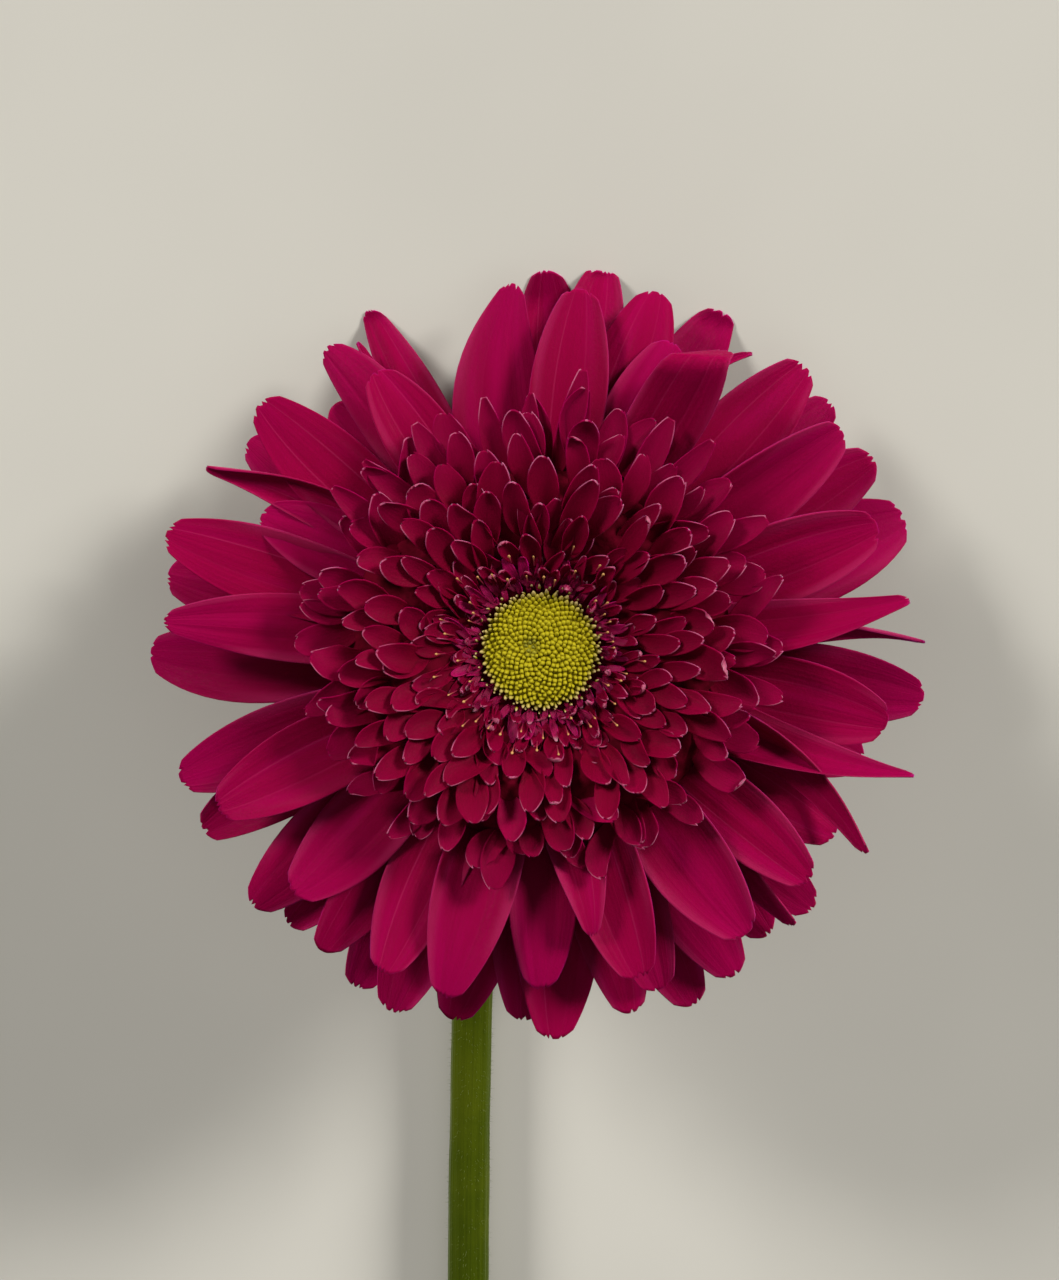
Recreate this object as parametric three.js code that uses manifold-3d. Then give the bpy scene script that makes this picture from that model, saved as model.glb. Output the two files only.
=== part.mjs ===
// A cut gerbera with a double bloom, lying on a surface. Millimetres and degrees, +Z up from the surface.
// The origin is on the surface, under the middle of the whole flower's box.
// The bloom leans forward, towards +Y, until its lower ray petals rest on the surface. The stem bends
// under it and lies along -Y to its cut end.
import * as THREE from "three";
import { mergeVertices } from "three/addons/utils/BufferGeometryUtils.js";
import Module from "manifold-3d";

const wasm = await Module();
wasm.setup();

// The bloom's place: its own frame has +Z out of its face, and +Y away from the stem.
const BLOOM_TILT = 24;
const BLOOM_HEIGHT = 25.8;
const BLOOM_PLACE = [0.4, 125.4];

// Segments round the cores that petals and bracts are rooted in.
const CORE_SEGMENTS = 24;

// A petal's half width, as a share of its widest, from the claw at its root to its round tip.
const CLAW = 0.34;
const WIDEST = 0.62;
const TIP_SHAPE = 0.9;
const TIP_FULLNESS = 0.6;

// Ray petals: the long outer florets.
const RAY_ROOT_RADIUS = 12.5;
const RAY_THICKNESS = 0.6;
const RAY_CUP = 0.06;
const RAY_STATIONS = [0, 0.42, 0.82, 1];
const RAY_TOOTH = 1.3;
const BACK_LAYER = { low: -0.6, rise: 2, tip: -16 };
const FRONT_LAYER = { low: 1.1, rise: 25, tip: -6 };
const LAYERS = 6;
// Each ray petal, clockwise from the top as seen from the front: [clock angle of its tip, reach of its tip
// from the bloom's axis, layer from 0 at the back to 5 at the front, half width, how far its root turns past
// its tip, roll].
const RAY_PETALS = [
  [1, 55.2, 0, 5.0, 0, 4],
  [9.3, 55.9, 1, 5.6, 0, -4],
  [6.5, 51.6, 4, 5.8, 0, 3],
  [18, 54.1, 3, 6.0, -1, -5],
  [28.3, 55.7, 0, 4.8, 0, 6],
  [31, 50.4, 5, 5.4, -3, 16],
  [24.5, 49.2, 4, 5.0, 0, -8],
  [42.5, 56.2, 2, 6.2, 0, 6],
  [49, 55.2, 0, 5.0, 0, 0],
  [54, 52.8, 3, 5.6, 0, -5],
  [60.5, 55.3, 1, 5.8, 0, 5],
  [70.5, 56.9, 0, 6.8, 0, 0],
  [70, 51, 4, 6.2, 0, 4],
  [82, 52.9, 4, 4.8, 1, -38],
  [88.8, 55.6, 1, 3.0, -2.5, 52],
  [97, 56.2, 0, 6.6, 0, 0],
  [102, 51.6, 3, 6.2, 0, 5],
  [109, 49.8, 0, 5.5, 0, -4],
  [108.3, 55.9, 4, 3.8, 4, -46],
  [121.8, 55, 3, 3.6, -5, 50],
  [119.5, 49.8, 0, 5.0, 0, 0],
  [123.3, 50.2, 3, 5.4, 0, -6],
  [130, 50.9, 4, 5.6, 1.5, 8],
  [133.5, 54.2, 0, 5.2, 0, 0],
  [137.3, 53.6, 2, 3.4, 0, 40],
  [141.3, 52.6, 0, 5.2, 0, 4],
  [144, 49.4, 4, 6.2, 0, -5],
  [149, 54.6, 1, 5.6, 0, 0],
  [157, 56.4, 0, 5.6, 0, 3],
  [160.5, 51.3, 2, 5.6, -2, -10],
  [163, 48.3, 4, 5.6, 0, 4],
  [166, 54.1, 1, 5.2, 2, 6],
  [170, 41.4, 5, 4.6, 7, -12],
  [178.3, 56, 1, 6.0, -1.5, -8],
  [182.6, 53.6, 0, 5.4, 0, 4],
  [180, 48, 4, 5.0, 0, 0],
  [193, 55.2, 0, 5.4, 0, 0],
  [194, 51.5, 4, 6.4, 0, 3],
  [203, 56.6, 1, 5.4, 0, 0],
  [206, 50.5, 4, 5.6, 2, 8],
  [209, 55.9, 0, 5.2, 0, -4],
  [216.5, 53.6, 2, 5.0, 0, 28],
  [222.5, 53.8, 1, 4.6, 0, 0],
  [229, 55.4, 2, 6.0, 2, -6],
  [225.5, 48.9, 4, 6.0, 4, 6],
  [242, 55.8, 0, 5.4, -1, 5],
  [251, 55.5, 2, 6.4, 0, -4],
  [244, 50.8, 4, 5.8, 0, 4],
  [267.5, 56.8, 0, 7.0, -1, 0],
  [275, 54.2, 4, 5.6, 0, -6],
  [283, 55.6, 0, 6.2, 0, 4],
  [288.5, 56.7, 3, 6.2, 0, 0],
  [296.5, 44.9, 4, 5.6, 0, 5],
  [300, 53.6, 3, 4.2, 4, -40],
  [306, 52.4, 0, 5.4, 0, 0],
  [311.5, 54.2, 3, 6.4, 0, 4],
  [319.5, 46.8, 1, 5.2, 0, 0],
  [324.5, 53.4, 2, 5.6, 5, -8],
  [329.5, 51.6, 1, 3.0, 3, 45],
  [334, 55.3, 0, 4.6, 2, -6],
  [329.5, 45.6, 5, 5.2, 6, 8],
  [355.5, 52.7, 3, 7.0, -3, 6],
];
// The dish that the ray petals are rooted in: [radius, height] round its section.
const RAY_DISH = [
  [0, -1.4],
  [15, -1.4],
  [17.4, -0.9],
  [17.4, 3.2],
  [12.3, 1.7],
  [0, 1.7],
];

// Crest petals: the short inner florets, in rows from the small upright ones round the disc to the flat
// outer ones. Each row: [count, radius and height of the roots, reach of the tips, angle at the root, angle
// at the tip, half width].
const CREST_ROWS = [
  [16, 8.9, 7.2, 9.6, 88, 75, 0.9],
  [16, 9.4, 7.4, 11.2, 84, 55, 1],
  [20, 10, 7.8, 13.2, 76, 56, 1.7],
  [20, 11.5, 10.2, 17.2, 56, 44, 2],
  [20, 14.3, 12, 21, 47, 37, 2.2],
  [24, 16.9, 12.8, 24.4, 39, 30, 2.3],
  [24, 19.8, 12.5, 27.8, 32, 22, 2.4],
  [24, 22.5, 11.7, 31, 24, 14, 2.5],
  [24, 25.4, 10.3, 34.2, 16, 6, 2.6],
];
const CREST_STATIONS = [0, 0.65, 1];
const CREST_THICKNESS = 0.7;
const CREST_CUP = 0.3;
const CREST_SEED = 7;
const CREST_VARIATION = { clock: 1.2, reach: 0.9, roll: 4 };
// The core that they are rooted in, a ring with a domed top.
const CREST_CORE = [
  [0, 2.4],
  [11.4, 2.4],
  [20, 6.3],
  [28, 9.2],
  [25.5, 12.4],
  [18.7, 14.4],
  [13, 12.1],
  [9.9, 9],
  [8.6, 7.9],
  [0, 7.9],
];

// Disc: the closed yellow-green florets in the middle.
const DISC_RADIUS = 8;
const DISC_BASE = 8.2;
const DISC_FOOT = 0.95;
const DISC_RIM = 9.2;
const DISC_TOP = 11;
const DISC_RINGS = 11;
const DISC_SPOKES = 38;
const BUD_RELIEF = 0.45;
const DIMPLE_DEPTH = 0.7;
const DIMPLE_RADIUS = 1.8;

// Involucre: the green cup of bracts behind the petals.
const CUP_PROFILE = [
  [0, -15],
  [3.6, -15],
  [6.2, -12.6],
  [9.6, -7.5],
  [11.6, -3.2],
  [11, -1.8],
  [0, -1.8],
];
const BRACT_ROWS = [
  { count: 14, root: 10.2, low: -6.2, length: 8.2, rise: 52, tip: 8, half: 1.8, turn: 3.7 },
  { count: 11, root: 7.4, low: -10.6, length: 7.4, rise: 52, tip: 34, half: 1.6, turn: 16.1 },
];
const BRACT_STATIONS = [0, 0.5, 1];
const BRACT_THICKNESS = 0.8;
const BRACT_CUP = 0.25;

// Stem: its centre line runs from the cup, over two bends, along the surface to the cut end. Places are from
// the point on the surface under the bloom's centre.
const STEM_NECK_RADIUS = 3.1;
const STEM_END_RADIUS = 4.1;
const STEM_TAPER = 0.8;
const STEM_SIDES = 12;
const NECK_STEPS = 10;
const LYING_STEPS = 18;
const STEM_GAP = 0.3;
const NECK_PULL = 9;
const BEND_PULL = 0.55;
const LYING_START = [-9.6, -58, 3.3];
const LYING_MIDDLE = [-12.6, -112, 3.6];
const LYING_LATE = [-15.5, -210, 4.1];
const CUT_END = [-5, -300, 4.1];

const radians = THREE.MathUtils.degToRad;
const lerp = THREE.MathUtils.lerp;

const colours = {
  ray: { color: 0xa8054b, roughness: 0.62 },
  crest: { color: 0x7a0430, roughness: 0.66 },
  disc: { color: 0xa9a51b, roughness: 0.7 },
  involucre: { color: 0x56702a, roughness: 0.75 },
  stem: { color: 0x5d7a22, roughness: 0.6 },
};

const bloom = new THREE.Group();
bloom.rotation.x = -radians(BLOOM_TILT);
bloom.position.z = BLOOM_HEIGHT;
bloom.updateMatrixWorld(true);

// A seeded stream of numbers from 0 to 1.
function randomStream(seed) {
  let state = seed;
  return () => {
    state = (state * 16807) % 2147483647;
    return state / 2147483647;
  };
}

// A closed geometry's solid, and a solid's geometry.
function solidOf(geometry) {
  const bare = geometry.clone();
  bare.deleteAttribute("normal");
  bare.deleteAttribute("uv");
  const merged = mergeVertices(bare, 1e-4);
  return new wasm.Manifold(
    new wasm.Mesh({
      numProp: 3,
      vertProperties: merged.attributes.position.array,
      triVerts: new Uint32Array(merged.index.array),
    }),
  );
}

function geometryOf(solid) {
  const mesh = solid.getMesh();
  const geometry = new THREE.BufferGeometry();
  geometry.setAttribute("position", new THREE.BufferAttribute(mesh.vertProperties, 3));
  geometry.setIndex(new THREE.BufferAttribute(mesh.triVerts, 1));
  geometry.computeVertexNormals();
  return geometry;
}

// Solids joined into one body. Hollows that joining seals are filled, and loose scraps dropped.
function joined(solids) {
  const bodies = wasm.Manifold.union(solids).decompose();
  return bodies.reduce((most, body) => (body.volume() > most.volume() ? body : most));
}

function namedMesh(name, geometry, finish) {
  const mesh = new THREE.Mesh(geometry, new THREE.MeshStandardMaterial({ ...finish, metalness: 0 }));
  mesh.name = name;
  return mesh;
}

// A closed skin over rings of points that all have the same number of points.
function skin(rings) {
  const around = rings[0].length;
  const faces = [];
  for (let i = 0; i + 1 < rings.length; i++)
    for (let j = 0; j < around; j++) {
      const [a, b] = [i * around + j, i * around + ((j + 1) % around)];
      faces.push(a, b, b + around);
      faces.push(a, b + around, a + around);
    }
  const last = (rings.length - 1) * around;
  for (let j = 1; j + 1 < around; j++) {
    faces.push(0, j + 1, j);
    faces.push(last, last + j, last + j + 1);
  }
  const points = rings.flat().flatMap((p) => [p.x, p.y, p.z]);
  const geometry = new THREE.BufferGeometry();
  geometry.setAttribute("position", new THREE.Float32BufferAttribute(points, 3));
  geometry.setIndex(faces);
  return geometry;
}

function lathe(profile, segments) {
  const shape = new THREE.LatheGeometry(profile.map(([r, z]) => new THREE.Vector2(r, z)), segments);
  return shape.rotateX(Math.PI / 2);
}

function petalOutline(s) {
  if (s < WIDEST) return CLAW + (1 - CLAW) * Math.sin((Math.PI / 2) * (s / WIDEST));
  return Math.cos((Math.PI / 2) * TIP_SHAPE * ((s - WIDEST) / (1 - WIDEST))) ** TIP_FULLNESS;
}

// A petal's middle line is an arc that rises at angle rise from its root and ends at angle tip.
function petalLine(petal) {
  const [start, end] = [radians(petal.rise), radians(petal.tip)];
  const turn = end - start;
  const length = petal.length ?? ((petal.reach - petal.root) * turn) / (Math.sin(end) - Math.sin(start));
  return (s) => {
    const angle = start + turn * s;
    const out = petal.root + (length / turn) * (Math.sin(angle) - Math.sin(start));
    const up = petal.low + (length / turn) * (Math.cos(start) - Math.cos(angle));
    const clock = radians(petal.clock + petal.lean * (1 - s) ** 2);
    return new THREE.Vector3(out * Math.sin(clock), out * Math.cos(clock), up);
  };
}

// The middle point and the directions along, across and out of a petal's face at s from 0 to 1.
function petalFrame(petal, line, s) {
  const step = 0.01;
  const point = line(s);
  const along = line(s + step).sub(line(s - step)).normalize();
  const across = new THREE.Vector3().crossVectors(along, new THREE.Vector3(0, 0, 1)).normalize();
  across.applyAxisAngle(along, radians(petal.roll * Math.sin((Math.PI / 2) * s)));
  const out = new THREE.Vector3().crossVectors(across, along);
  return { point, along, across, out };
}

// A petal as rings of points: three over its upper face and three, or a keel of one, under it.
function petalRings(petal, stations, thickness, { tooth = 0, keel = false } = {}) {
  const line = petalLine(petal);
  return stations.map((s, i) => {
    const { point, along, across, out } = petalFrame(petal, line, s);
    const half = petal.half * petalOutline(s);
    const notch = i === stations.length - 1 ? tooth : 0;
    const at = (side, lift, back) =>
      point
        .clone()
        .addScaledVector(across, half * side)
        .addScaledVector(out, petal.cup * petal.half * side * side + lift)
        .addScaledVector(along, -back);
    const upper = [at(-1, 0, 0), at(0, 0, notch), at(1, 0, 0)];
    const lower = [at(1, -thickness, 0), at(0, -thickness, notch), at(-1, -thickness, 0)];
    return keel ? [...upper, lower[1]] : [...upper, ...lower];
  });
}

// Points of the bloom that would be under the surface lie on it instead, the upper face over the lower.
function restOnSurface(rings, thickness) {
  const up = new THREE.Vector3(0, 0, 1).transformDirection(bloom.matrixWorld.clone().invert());
  for (const ring of rings)
    ring.forEach((point, i) => {
      const height = bloom.localToWorld(point.clone()).z;
      const least = i < ring.length / 2 ? thickness : 0;
      if (height < least) point.addScaledVector(up, least - height);
    });
  return rings;
}

// Ray petals spread from a flat dish, the back ones drooping and the front ones raised.
function rayPetals() {
  const blades = RAY_PETALS.map(([clock, reach, layer, half, lean, roll]) => {
    const front = layer / (LAYERS - 1);
    const low = lerp(BACK_LAYER.low, FRONT_LAYER.low, front);
    const rise = lerp(BACK_LAYER.rise, FRONT_LAYER.rise, front);
    const tip = lerp(BACK_LAYER.tip, FRONT_LAYER.tip, front);
    const petal = { clock, reach, half, lean, roll, root: RAY_ROOT_RADIUS, low, rise, tip, cup: RAY_CUP };
    const rings = petalRings(petal, RAY_STATIONS, RAY_THICKNESS, { tooth: RAY_TOOTH });
    return solidOf(skin(restOnSurface(rings, RAY_THICKNESS)));
  });
  return joined([solidOf(lathe(RAY_DISH, CORE_SEGMENTS)), ...blades]);
}

// Crest petals are cupped blades, and each row's stand between those of the row before.
function crestPetals() {
  const random = randomStream(CREST_SEED);
  const vary = (range) => (random() * 2 - 1) * range;
  const blades = [];
  CREST_ROWS.forEach(([count, root, low, tips, rise, tip, half], row) => {
    for (let i = 0; i < count; i++) {
      const clock = (360 * (i + (row % 2) / 2)) / count + vary(CREST_VARIATION.clock);
      const reach = tips + vary(CREST_VARIATION.reach) * (row / (CREST_ROWS.length - 1));
      const roll = vary(CREST_VARIATION.roll);
      const petal = { clock, reach, half, lean: 0, roll, root, low, rise, tip, cup: CREST_CUP };
      blades.push(solidOf(skin(petalRings(petal, CREST_STATIONS, CREST_THICKNESS, { keel: true }))));
    }
  });
  return joined([solidOf(lathe(CREST_CORE, CORE_SEGMENTS)), ...blades]);
}

// The disc is a low dome whose buds are relief: every second point of its grid stands out.
function discGeometry() {
  const rings = [];
  for (let i = 0; i <= DISC_RINGS; i++) {
    const out = 1 - i / (DISC_RINGS + 1);
    const radius = DISC_RADIUS * out;
    const dimple = DIMPLE_DEPTH * Math.exp(-((radius / DIMPLE_RADIUS) ** 2));
    const ring = [];
    for (let j = 0; j < DISC_SPOKES; j++) {
      const turn = ((j + i / 2) / DISC_SPOKES) * 2 * Math.PI;
      const bud = (i + j) % 2 === 0 && i > 0 ? BUD_RELIEF : 0;
      const height = DISC_RIM + (DISC_TOP - DISC_RIM) * (1 - out ** 2) - dimple + bud;
      ring.push(new THREE.Vector3(radius * Math.cos(turn), radius * Math.sin(turn), height));
    }
    rings.push(ring);
  }
  const foot = rings[0].map((p) => new THREE.Vector3(p.x * DISC_FOOT, p.y * DISC_FOOT, DISC_BASE));
  return skin([foot, ...rings]);
}

// Two rows of narrow bracts hug a cup that narrows to the stem.
function involucre() {
  const parts = [solidOf(lathe(CUP_PROFILE, CORE_SEGMENTS))];
  for (const row of BRACT_ROWS)
    for (let i = 0; i < row.count; i++) {
      const petal = { ...row, clock: (360 * i) / row.count + row.turn, lean: 0, roll: 0, cup: BRACT_CUP };
      parts.push(solidOf(skin(petalRings(petal, BRACT_STATIONS, BRACT_THICKNESS, { keel: true }))));
    }
  return joined(parts);
}

// The stem's centre line: from the cup down into the bend, then along the surface.
function stemLine() {
  const cupFoot = bloom.localToWorld(new THREE.Vector3(0, 0, CUP_PROFILE[0][1] - STEM_GAP));
  const down = new THREE.Vector3(0, 0, -1).transformDirection(bloom.matrixWorld);
  const [start, middle, late, end] = [LYING_START, LYING_MIDDLE, LYING_LATE, CUT_END].map(
    (place) => new THREE.Vector3(...place),
  );
  const before = start.clone().lerp(middle, -BEND_PULL).setZ(start.z);
  const below = cupFoot.clone().addScaledVector(down, NECK_PULL);
  const neck = new THREE.CubicBezierCurve3(cupFoot, below, before, start);
  const lying = new THREE.CubicBezierCurve3(start, middle, late, end);
  return [...neck.getPoints(NECK_STEPS), ...lying.getPoints(LYING_STEPS).slice(1)];
}

function stemGeometry() {
  const line = stemLine();
  const rings = line.map((point, i) => {
    const share = i / (line.length - 1);
    const radius = lerp(STEM_NECK_RADIUS, STEM_END_RADIUS, share ** STEM_TAPER);
    const along = line[Math.min(i + 1, line.length - 1)].clone().sub(line[Math.max(i - 1, 0)]).normalize();
    if (i === 0) along.set(0, 0, -1).transformDirection(bloom.matrixWorld);
    const side = new THREE.Vector3(1, 0, 0).cross(along).cross(along).negate().normalize();
    const other = new THREE.Vector3().crossVectors(along, side);
    return Array.from({ length: STEM_SIDES }, (_, j) => {
      const turn = ((j + 0.5) / STEM_SIDES) * 2 * Math.PI;
      const rim = side.clone().multiplyScalar(Math.cos(turn)).addScaledVector(other, Math.sin(turn));
      const p = point.clone().addScaledVector(rim, radius);
      p.z = Math.max(p.z, 0);
      return p;
    });
  });
  return skin(rings);
}

bloom.add(
  namedMesh("ray_petals", geometryOf(rayPetals()), colours.ray),
  namedMesh("crest_petals", geometryOf(crestPetals()), colours.crest),
  namedMesh("disc", discGeometry(), colours.disc),
  namedMesh("involucre", geometryOf(involucre()), colours.involucre),
);

const gerbera = new THREE.Group();
gerbera.add(bloom, namedMesh("stem", stemGeometry(), colours.stem));
gerbera.position.set(...BLOOM_PLACE, 0);

export default gerbera;
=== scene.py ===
"""Looks of a cut gerbera with a double bloom, lying on a pale surface.

Shapes are made in the bloom's own frame, in mm: +Z out of its face, and +Y up in the picture, away from the
stem. Clock angles run clockwise from +Y, as seen from the front. Pieces end up in the row frame, in metres.
"""

import math
from dataclasses import dataclass

import bpy
import numpy as np
from mathutils import Matrix


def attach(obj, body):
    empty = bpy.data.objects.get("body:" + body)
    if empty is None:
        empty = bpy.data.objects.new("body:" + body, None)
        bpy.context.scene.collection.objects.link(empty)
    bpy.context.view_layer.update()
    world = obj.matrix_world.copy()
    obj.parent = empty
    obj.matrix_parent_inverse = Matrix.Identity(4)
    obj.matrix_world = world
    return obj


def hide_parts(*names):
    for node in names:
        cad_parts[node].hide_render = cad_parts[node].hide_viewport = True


# The bloom's tilt and place, the same as in the part's source.
BLOOM_TILT = math.radians(24)
BLOOM_PLACE = np.array([0.4, 125.4, 25.8])
BLOOM_AXES = np.array(
    [
        [1, 0, 0],
        [0, math.cos(BLOOM_TILT), -math.sin(BLOOM_TILT)],
        [0, math.sin(BLOOM_TILT), math.cos(BLOOM_TILT)],
    ]
)
MM = 0.001
# The least height of a petal or hair above the surface that the flower lies on.
SURFACE_GAP = 0.02
# The radius of a ring that closes a surface at its axis.
TINY_RADIUS = 0.02
SEEDS = {"rays": 11, "crest": 23, "ring": 5, "disc": 3, "styles": 17, "bracts": 29, "hairs": 41}

# The camera looks square at the bloom's face from this far, through a point a little beside its middle.
CAMERA_DISTANCE = 400
CAMERA_AIM = (-1.5, 1.45)
CAMERA_LENS = 77.59
CAMERA_SENSOR = 36

# Lights, far away like windows: [name, direction from the bloom in its own frame, strength, width in
# degrees].
LIGHTS = [
    ("key_left", (-0.62, 0.47, 0.60), 3.45, 16),
    ("key_right", (0.74, 0.46, 0.58), 4.8, 16),
    ("front_fill", (0.1, -0.3, 1.0), 0.4, 70),
]
WORLD_COLOUR = (0.93, 0.96, 1.0)
WORLD_STRENGTH = 0.12
FLOOR_COLOUR = (0.56, 0.533, 0.465)
FLOOR_SIZE = 6.0

# Outline of a petal, the same as in the part's source: how wide its root is as a share of its half width,
# how far along it is widest, and how its tip closes.
CLAW = 0.34
WIDEST = 0.62
TIP_SHAPE = 0.9
TIP_FULLNESS = 0.6
# Where the two furrows run along a petal, and how wide they are, as shares of its half width.
FURROW_PLACE = 0.36
FURROW_WIDTH = 0.1
FOLD_RADIUS = 1.0

# Ray petals: the long outer florets, from the back layer to the front one. A layer gives the height of the
# roots and the slopes at the root and at the tip.
RAY_ROOT_RADIUS = 12.5
BACK_LAYER = {"low": -0.6, "rise": 2, "tip": -16}
FRONT_LAYER = {"low": 1.1, "rise": 25, "tip": -6}
LAST_LAYER = 5
RAY_THICKNESS = 0.34
# How far the corners of a tip are cut back, and how much longer a petal is made before its teeth are cut.
TIP_ROUNDING = 1.3
TIP_SPARE = 0.5
# How many degrees more the tips of the petals over the stem rise than those at the far side.
LOWER_LIFT = 8
# [clock angle of its tip, reach of its tip, layer, half width, how far its root turns past its tip, roll].
RAY_PETALS = [
    (1, 57.1, 0, 5.2, 0, 4),
    (9.5, 56.1, 1, 5.5, 0, -4),
    (6.5, 51.6, 4, 5.8, 0, 3),
    (18, 54.1, 3, 6.0, -1, -5),
    (28.5, 56.8, 0, 5.3, 0, 6),
    (28.6, 50.4, 5, 5.5, -3, 8),
    (35.6, 51.9, 3, 3.4, 0, 0),
    (23, 47.6, 4, 5.2, 0, -8),
    (43.1, 55.9, 2, 6.15, 0, 10),
    (49.6, 55.8, 0, 5.0, 0, 0),
    (54, 53.2, 3, 5.6, 0, 16),
    (60.4, 55.5, 1, 6.2, 0, 15),
    (70.1, 56.6, 0, 7.3, 0, 6),
    (70, 51, 4, 6.2, 0, 18),
    (82.2, 52.8, 4, 5.1, 1, -26),
    (89, 55.6, 1, 3.0, -2.5, 52),
    (97.3, 56.2, 0, 6.0, 0, 8),
    (102, 50.6, 3, 6.2, 0, 14),
    (109, 49.8, 0, 5.5, 0, -4),
    (108.4, 55.7, 4, 5.7, 4, -42),
    (121.9, 54.2, 3, 4.6, -5, 38),
    (119.5, 49.8, 0, 5.0, 0, 0),
    (122, 49.7, 3, 5.2, 0, -6),
    (130.6, 49.9, 4, 5.2, 1.5, 8),
    (133.5, 54.2, 0, 5.2, 0, 0),
    (137.3, 53.6, 2, 3.4, 0, 40),
    (141.3, 52.6, 0, 5.2, 0, 4),
    (144, 49.4, 4, 6.2, 0, 5),
    (149, 54.6, 1, 5.6, 0, 0),
    (156.6, 56.1, 0, 5.8, 0, 3),
    (160.5, 51.3, 2, 5.6, -2, -10),
    (163, 48.3, 4, 5.6, 0, 4),
    (166, 53.7, 1, 5.2, 2, 6),
    (169.6, 40.7, 5, 4.8, 7, -12),
    (177.8, 56, 1, 6.2, -1.5, -8),
    (182.6, 53.6, 0, 5.4, 0, 4),
    (180, 48, 4, 5.0, 0, 0),
    (193.2, 55.2, 0, 5.7, 0, 0),
    (195.4, 50.6, 4, 6.4, -1, 3),
    (202.3, 56, 1, 5.8, 0, 0),
    (206, 50.5, 4, 5.6, 2, 8),
    (208.6, 55.8, 0, 5.2, 0, -4),
    (215.8, 53.1, 2, 5.2, 0, -28),
    (222.4, 53.8, 1, 4.6, 0, 0),
    (228.3, 55.2, 2, 5.6, 2, 0),
    (225.5, 48.9, 4, 6.0, 4, 12),
    (241.7, 55.4, 0, 5.2, -1, 5),
    (250.3, 54.8, 2, 5.5, 0, 4),
    (244, 50.8, 4, 5.8, 0, 12),
    (269.5, 56.8, 0, 6.1, -1, 0),
    (274.4, 53.5, 4, 5.6, 0, 0),
    (281.5, 55.2, 0, 6.2, 0, 4),
    (287.5, 55.6, 3, 5.8, 0, 0),
    (295.8, 43.9, 4, 5.4, 0, 5),
    (298.5, 54, 3, 4.9, 4, -28),
    (305.6, 52.2, 0, 5.4, 0, 0),
    (311.5, 53.1, 3, 5.9, 0, -6),
    (319.8, 46.1, 1, 5.0, 0, 0),
    (324.7, 53.5, 2, 4.6, 0, -8),
    (329.5, 51.6, 1, 3.0, 3, 45),
    (333.4, 56, 0, 4.45, 2, -6),
    (329.5, 45.6, 5, 5.2, 6, 8),
    (356, 52.5, 3, 8.35, -3, 6),
]
# Petals that are pointed, furled, curled or folded over, by their clock angle and reach.
RAY_FORMS = {
    (28.6, 50.4): {"fold": (36.0, 24, 110), "rise": 10, "tip": 42},
    (35.6, 51.9): {"taper": 0.75, "cup_tip": 0.8, "sway": -11, "rise": 22},
    (82.2, 52.8): {"taper": 0.55, "cup_tip": 0.9, "sway": 2.5},
    (70.1, 56.6): {"sway": 1},
    (89, 55.6): {"taper": 0.8, "cup_tip": 1.2, "sway": -3.6},
    (108.4, 55.7): {"taper": 0.8, "cup_tip": 0.8, "sway": 3.7},
    (121.9, 54.2): {"taper": 0.6, "cup_tip": 0.9, "curl": 12, "sway": -8.3},
    (137.3, 53.6): {"taper": 0.3, "cup_tip": 0.7},
    (169.6, 40.7): {
        "taper": 0.5, "cup_tip": 0.3, "furrow": 0.04, "wave": 0.03,
        "low": 2.3, "rise": 28, "roll": -5,
    },
    (195.4, 50.6): {"taper": 0.2, "cup_tip": 0.3, "sway": 0},
    (241.7, 55.4): {"sway": 1.2},
    (269.5, 56.8): {"sway": -1.8},
    (274.4, 53.5): {"taper": 0.35},
    (298.5, 54): {"sway": 5.2, "taper": 0.65, "cup_tip": 1.4, "curl": 25},
    (324.7, 53.5): {"sway": 2.6},
    (329.5, 51.6): {"taper": 0.6, "cup_tip": 0.7},
    (333.4, 56): {"taper": 0.3},
    (356, 52.5): {"taper": 0.54, "sway": -5},
}
# Petals with a smooth round tip instead of a toothed one, by their clock angle and reach.
SMOOTH_TIPS = {(215.8, 53.1), (319.8, 46.1)}

# Crest petals: the short inner florets. Each row: [count, radius and height of the roots, reach of the
# tips, slope at the root, slope at the tip, half width, half the angle that the section curls through].
CREST_ROWS = [
    (26, 9.5, 7.5, 11.1, 62, 72, 0.85, 1.4),
    (32, 9.8, 7.9, 12.4, 52, 34, 0.95, 1.3),
    (30, 10.8, 8.3, 14.3, 52, 30, 1.2, 1.2),
    (28, 12.0, 9.1, 16.4, 50, 28, 1.55, 1.05),
    (28, 13.7, 10.3, 19.0, 48, 28, 1.9, 0.95),
    (28, 15.8, 11.4, 22.0, 44, 26, 2.2, 0.9),
    (30, 18.2, 12.1, 25.2, 38, 21, 2.4, 0.85),
    (32, 20.8, 11.9, 28.4, 31, 15, 2.45, 0.8),
    (32, 23.4, 10.9, 31.4, 23, 8, 2.5, 0.75),
    (30, 25.6, 9.9, 34.2, 17, 3, 2.4, 0.7),
]
# The rows next to the disc, whose petals vary more and stay short.
INNER_ROWS = 4
# How much further the crest reaches at the top of the picture than at its sides, as a share.
CREST_STRETCH = 0.055
CREST_THICKNESS = 0.26
# Long crest petals that lie on the rays: [clock angle, reach, half width].
LONG_CREST_PETALS = [
    (8.7, 39.8, 2.0),
    (29.5, 37.4, 2.3),
    (39.5, 38, 2.2),
    (60, 36.8, 2.2),
    (308, 37, 2.2),
    (317, 36.4, 2.2),
    (331, 36.4, 2.1),
    (347.4, 36.4, 2.2),
    (358, 36.2, 2.0),
]
LONG_ROOT_RADIUS = 24
LONG_ROOT_HEIGHT = 10.4
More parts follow.
